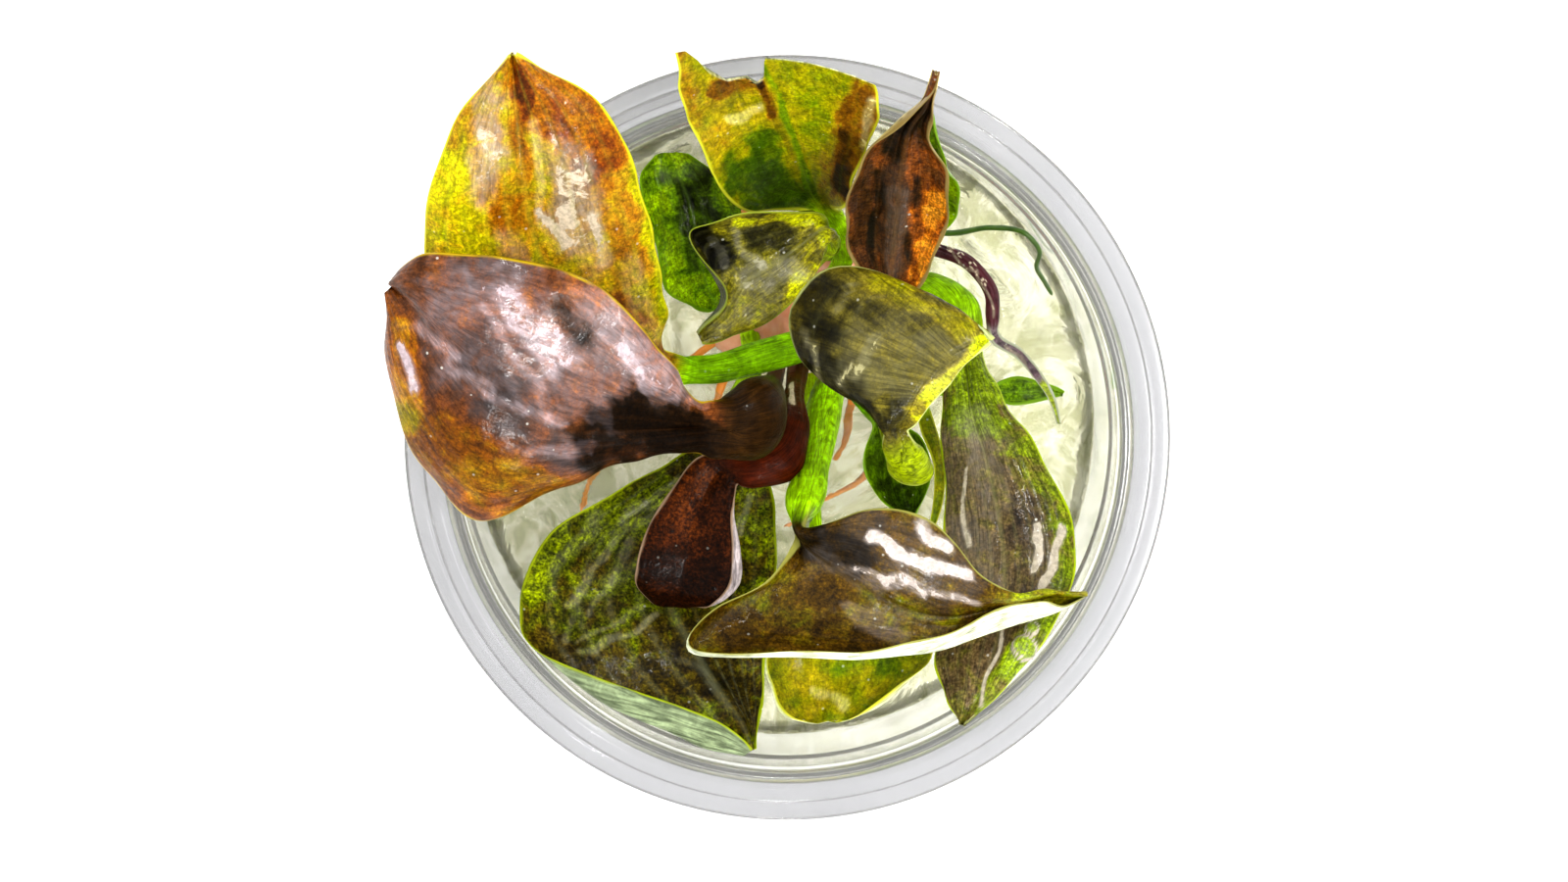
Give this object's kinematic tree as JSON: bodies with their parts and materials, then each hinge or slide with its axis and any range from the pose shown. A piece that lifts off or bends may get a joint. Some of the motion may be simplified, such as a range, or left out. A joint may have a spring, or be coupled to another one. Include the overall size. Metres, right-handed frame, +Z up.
{
  "type": "tissue culture plant in cup",
  "caption": "Young sword plant with wet green, olive and purple-brown leaves, growing from nutrient gel in a clear round flanged cup.",
  "frame": {"origin": "centre of the cup's flat base, on the surface that it stands on", "axes": "+Z up along the cup's axis; the camera of the picture looks down -Z with +Y at the top of the picture"},
  "size_m": [0.1, 0.0986, 0.0865],
  "materials": {
    "cup_polypropylene": "clear moulded polypropylene, faintly milky",
    "agar_gel": "pale cream-green clear agar, wet",
    "crown_tissue": "pink-cream rhizome and callus, moist",
    "leaf_olive": "wet olive leaf with yellow-green margin",
    "leaf_purple_brown": "wet purple-brown leaf with pale highlights",
    "leaf_green_brown": "wet green-brown leaf with pale veins",
    "leaf_yellow_green": "wet yellow-green leaf",
    "leaf_deep_green": "wet deep green leaf",
    "root_tissue": "orange-brown root",
    "root_green": "thin dark green root"
  },
  "bodies": {
    "root": {"cup": "cup_polypropylene", "gel": "agar_gel", "crown": "crown_tissue", "leaf_upper_left": "leaf_olive", "leaf_broad_left": "leaf_purple_brown", "leaf_dark_tongue": "leaf_purple_brown", "leaf_lower_left": "leaf_green_brown", "leaf_front_folded": "leaf_purple_brown", "leaf_right": "leaf_green_brown", "leaf_centre_high": "leaf_olive", "leaf_small_cupped": "leaf_deep_green", "leaf_young_strip": "leaf_yellow_green", "leaf_torn": "leaf_yellow_green", "leaf_middle_curled": "leaf_olive", "leaf_pointed": "leaf_purple_brown", "leaf_behind_pointed": "leaf_deep_green", "leaf_deep_green": "leaf_deep_green", "leaf_narrow_purple": "leaf_purple_brown", "leaf_on_gel": "leaf_deep_green", "leaf_front_low": "leaf_yellow_green", "root_front": "root_tissue", "root_centre": "root_tissue", "root_left": "root_tissue", "root_far_left": "root_tissue", "root_back": "root_tissue", "root_thread": "root_green"}
  },
  "joints": []
}
